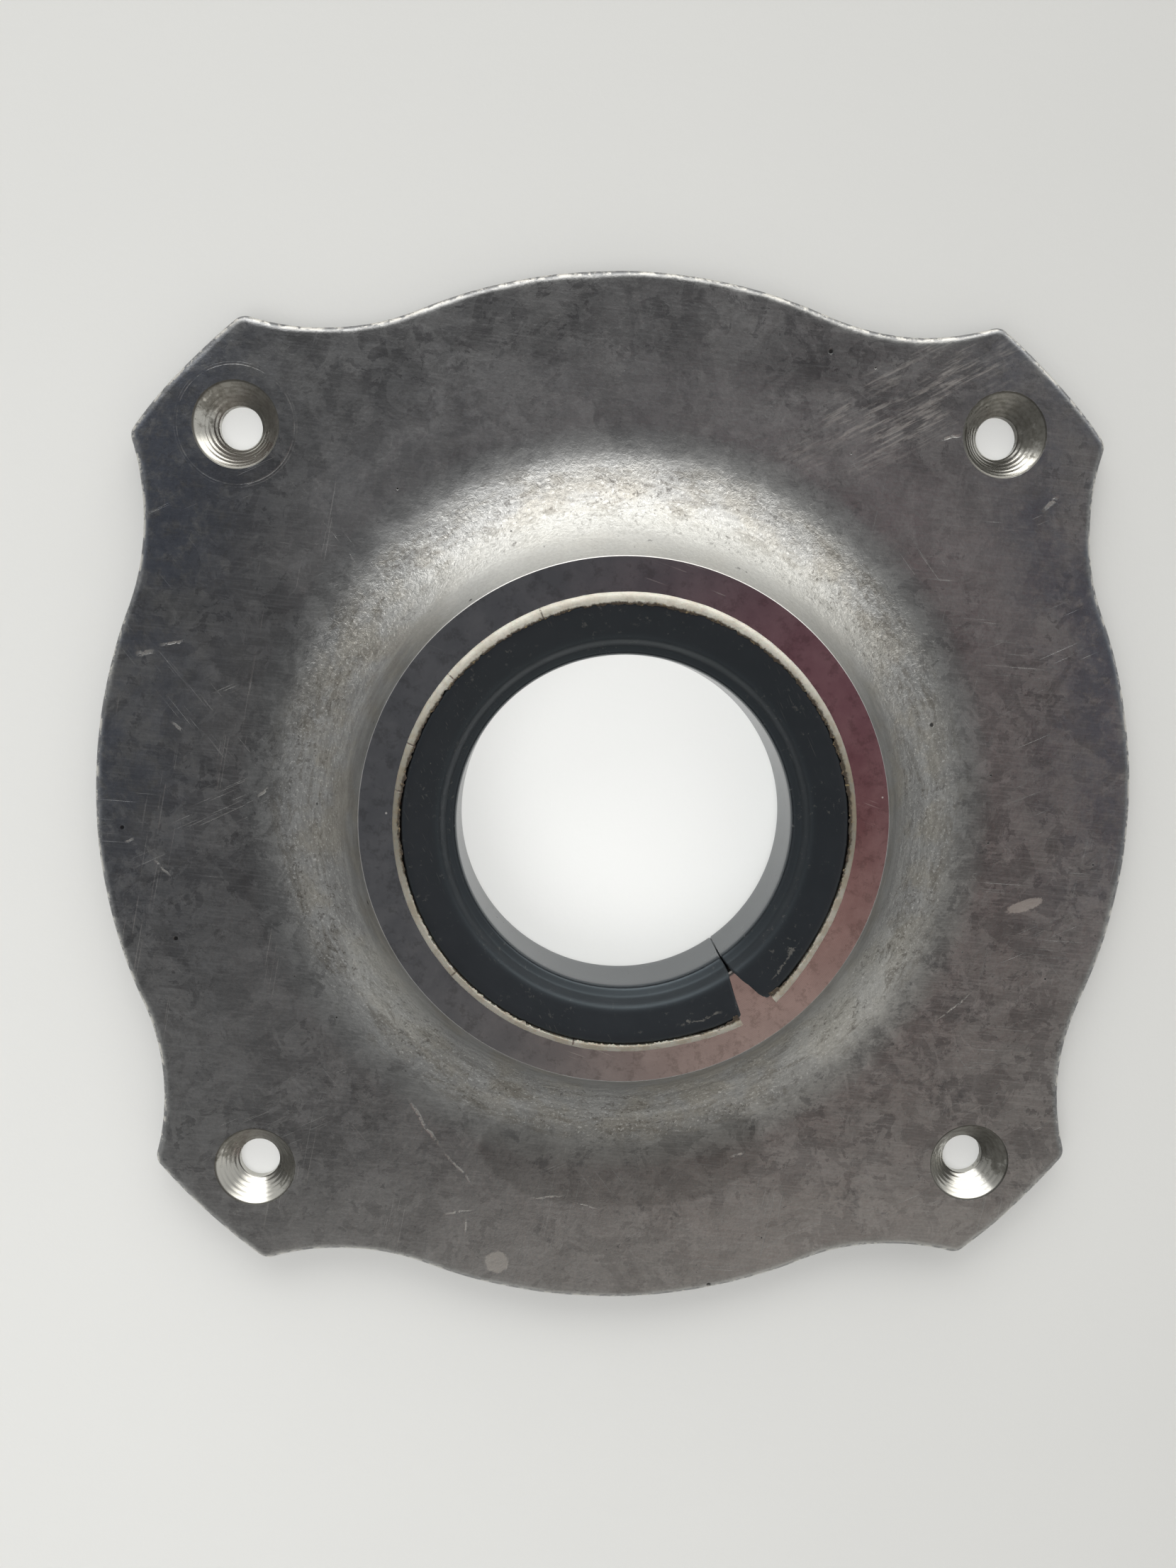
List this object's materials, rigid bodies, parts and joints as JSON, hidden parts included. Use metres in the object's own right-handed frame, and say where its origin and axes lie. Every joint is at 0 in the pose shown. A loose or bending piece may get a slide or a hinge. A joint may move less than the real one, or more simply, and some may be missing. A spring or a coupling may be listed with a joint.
{
  "type": "stanchion base",
  "caption": "Square cast flange with scalloped edges, countersunk corner holes and a raised round hub; a split polymer liner in its bore holds an upright tube.",
  "frame": {"origin": "on the bore's axis, in the mounting face (the flange's flat back)", "axes": "+Z along the bore, out of the hub's face; +X and +Y square to the flange's sides, through the middles of the bulging lobes; the liner's split is at 306 degrees anticlockwise from +X"},
  "size_m": [0.147, 0.147, 0.0194],
  "materials": {
    "cast_aluminium": "cast and hand-finished with stains and fine scratches; the hub's face and the countersinks are turned bright",
    "black_polymer": "moulded, satin, lightly scuffed with pale stress marks beside the split",
    "cream_sealant": "cured hand-run bead, dull, stained brown along its inner edge"
  },
  "bodies": {
    "root": {"base_flange": "cast_aluminium", "split_liner": "black_polymer", "sealant_bead": "cream_sealant"}
  },
  "joints": []
}
